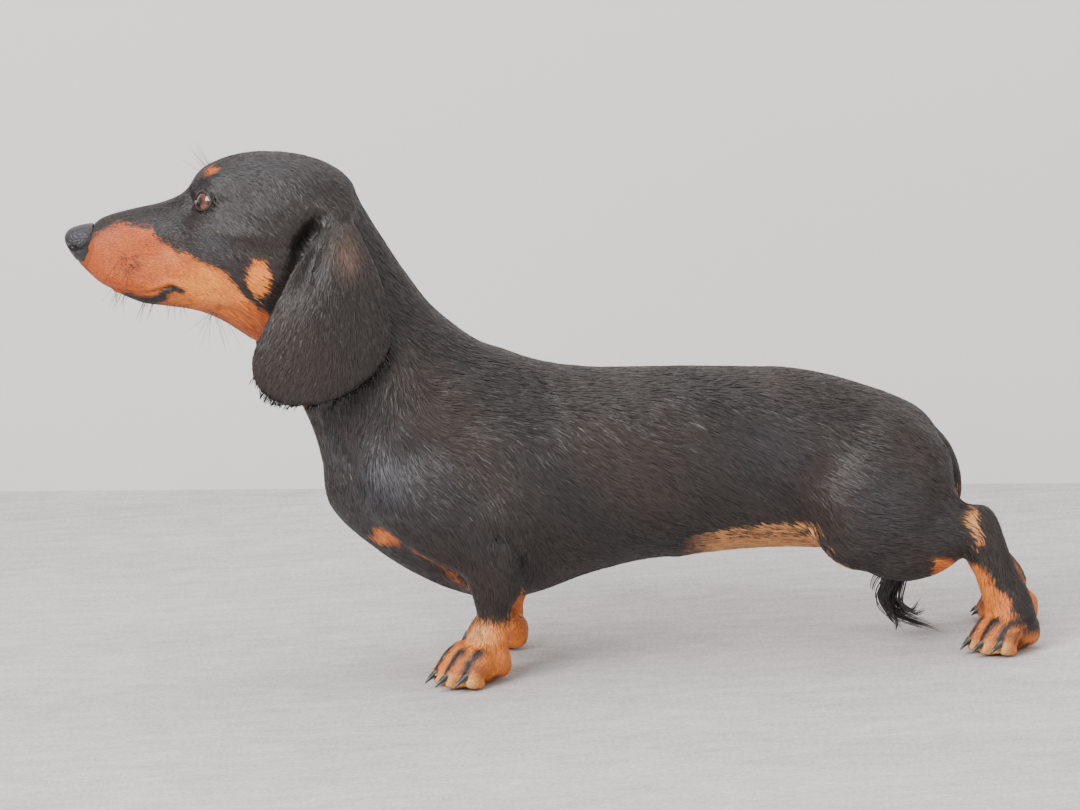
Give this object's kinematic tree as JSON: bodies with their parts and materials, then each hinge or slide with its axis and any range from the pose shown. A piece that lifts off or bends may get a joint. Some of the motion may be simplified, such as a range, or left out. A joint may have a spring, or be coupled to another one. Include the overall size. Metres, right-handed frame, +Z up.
{
  "type": "dachshund",
  "caption": "Life-size smooth-haired miniature dachshund, black and tan, standing still on four feet with its head level and its tail lowered.",
  "frame": {"origin": "on the floor, under the middle of the dog's bounding box", "axes": "+Z up, the dog faces -X, its left side is towards -Y"},
  "size_m": [0.5288, 0.1269, 0.2879],
  "materials": {
    "coat_black": "short flat glossy hair, black",
    "coat_tan": "short hair, rust tan",
    "nose_leather": "moist grained skin",
    "eye": "wet, polished",
    "claw": "smooth dark horn"
  },
  "bodies": {
    "root": {"claw_fore_left_1": "claw", "claw_fore_left_2": "claw", "claw_fore_left_3": "claw", "claw_fore_left_4": "claw", "claw_fore_right_1": "claw", "claw_fore_right_2": "claw", "claw_fore_right_3": "claw", "claw_fore_right_4": "claw", "claw_hind_left_1": "claw", "claw_hind_left_2": "claw", "claw_hind_left_3": "claw", "claw_hind_left_4": "claw", "claw_hind_right_1": "claw", "claw_hind_right_2": "claw", "claw_hind_right_3": "claw", "claw_hind_right_4": "claw", "dewclaw_left": "claw", "dewclaw_right": "claw", "ear_left": "coat_black", "ear_right": "coat_black", "eye_left": "eye", "eye_right": "eye", "foreleg_left": "coat_black", "foreleg_right": "coat_black", "forepaw_left": "coat_tan", "forepaw_right": "coat_tan", "head": "coat_black", "hindleg_left": "coat_black", "hindleg_right": "coat_black", "hindpaw_left": "coat_tan", "hindpaw_right": "coat_tan", "neck": "coat_black", "nose": "nose_leather", "tail": "coat_black", "torso": "coat_black"}
  },
  "joints": []
}
